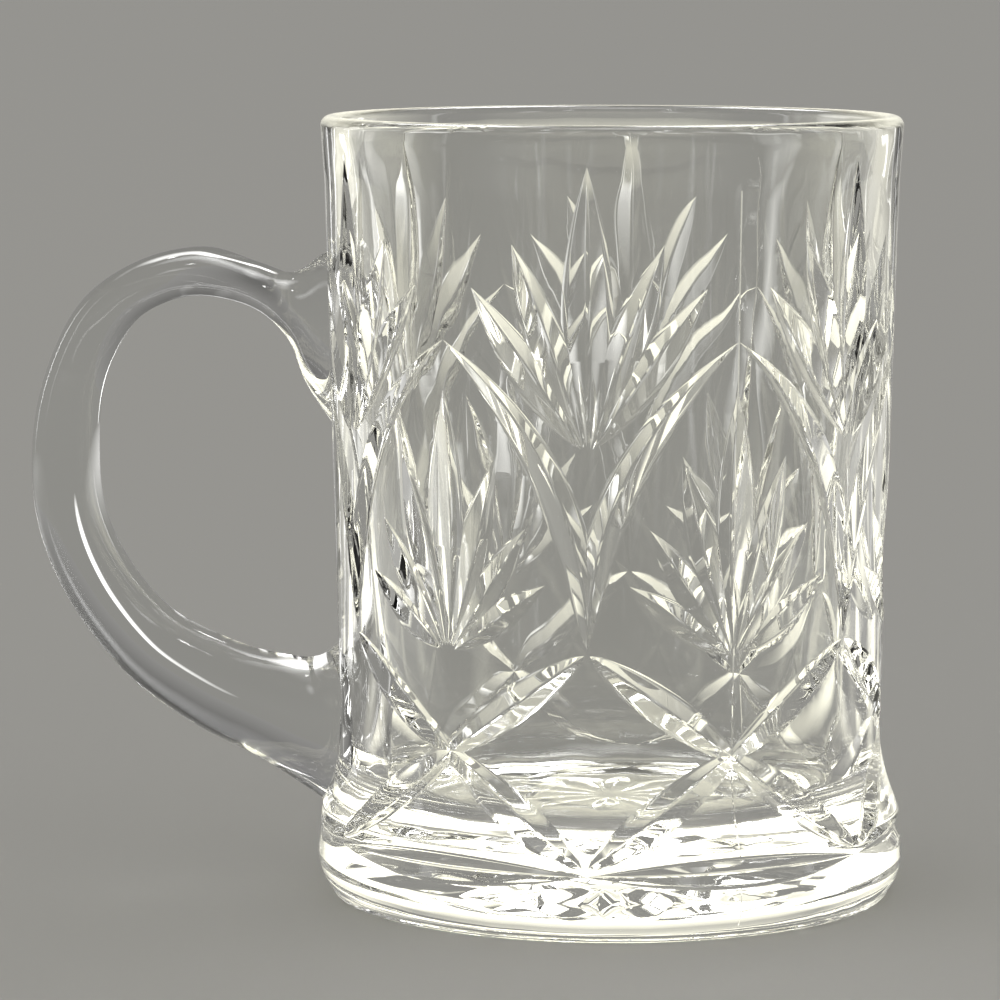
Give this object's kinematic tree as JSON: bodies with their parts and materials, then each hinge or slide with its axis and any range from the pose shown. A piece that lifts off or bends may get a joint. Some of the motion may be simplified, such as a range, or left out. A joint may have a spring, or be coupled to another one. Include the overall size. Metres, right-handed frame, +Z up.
{
  "type": "pressed glass beer mug",
  "caption": "Straight-sided drinking mug of clear pressed glass with cut-style fans, pointed arches and crosses on its wall, a flared foot and a fused loop handle.",
  "frame": {"origin": "centre of the standing ring under the foot, on the mug's axis and on the surface that it stands on", "axes": "+Z up along the mug's axis, the handle's loop in the XZ plane on the -X side"},
  "size_m": [0.1419, 0.0946, 0.125],
  "materials": {
    "clear_glass": "fire polished, smooth and clear with a faint warm green tint in thick glass"
  },
  "bodies": {
    "root": {"mug_body": "clear_glass", "handle": "clear_glass"}
  },
  "joints": []
}
